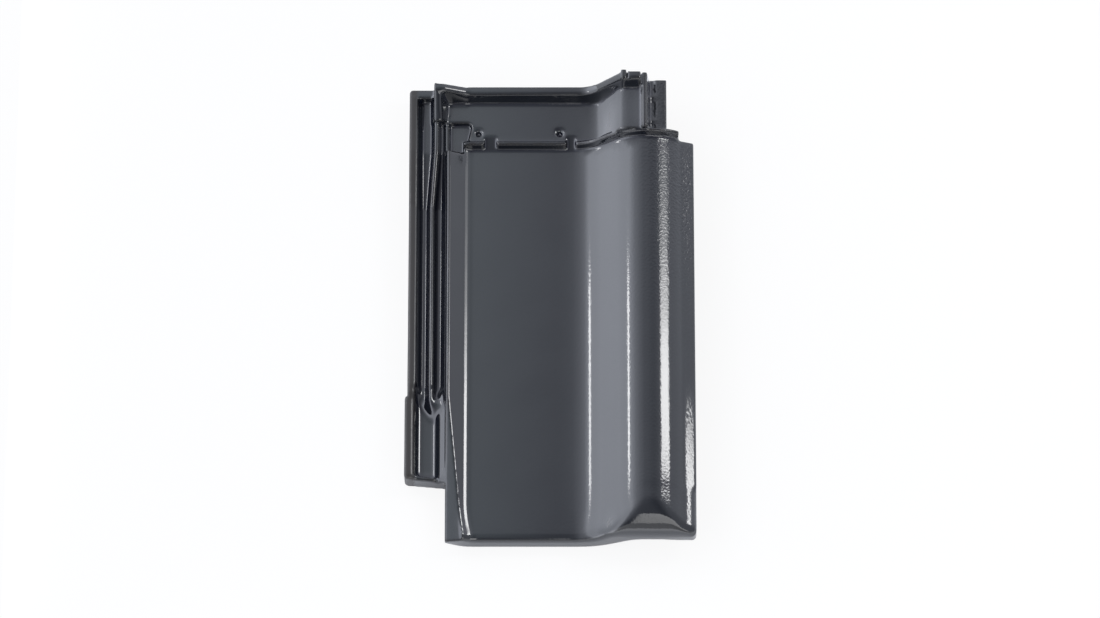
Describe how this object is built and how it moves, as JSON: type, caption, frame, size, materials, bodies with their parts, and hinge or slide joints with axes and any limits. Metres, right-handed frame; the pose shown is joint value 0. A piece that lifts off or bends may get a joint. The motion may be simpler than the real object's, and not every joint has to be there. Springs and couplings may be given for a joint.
{
  "type": "clay roof tile",
  "caption": "Glazed interlocking clay roof tile with a flat pan, a roll at one edge, a channelled side lock, a stepped head lock and hanging nibs below.",
  "frame": {"origin": "centre of the tile's outline, on the level it lies on", "axes": "+Y up the roof slope towards the head, +Z out of the roof, +X towards the roll"},
  "size_m": [0.2782, 0.46, 0.078],
  "materials": {
    "glazed_clay": "gloss"
  },
  "bodies": {
    "root": {"roof_tile": "glazed_clay"}
  },
  "joints": []
}
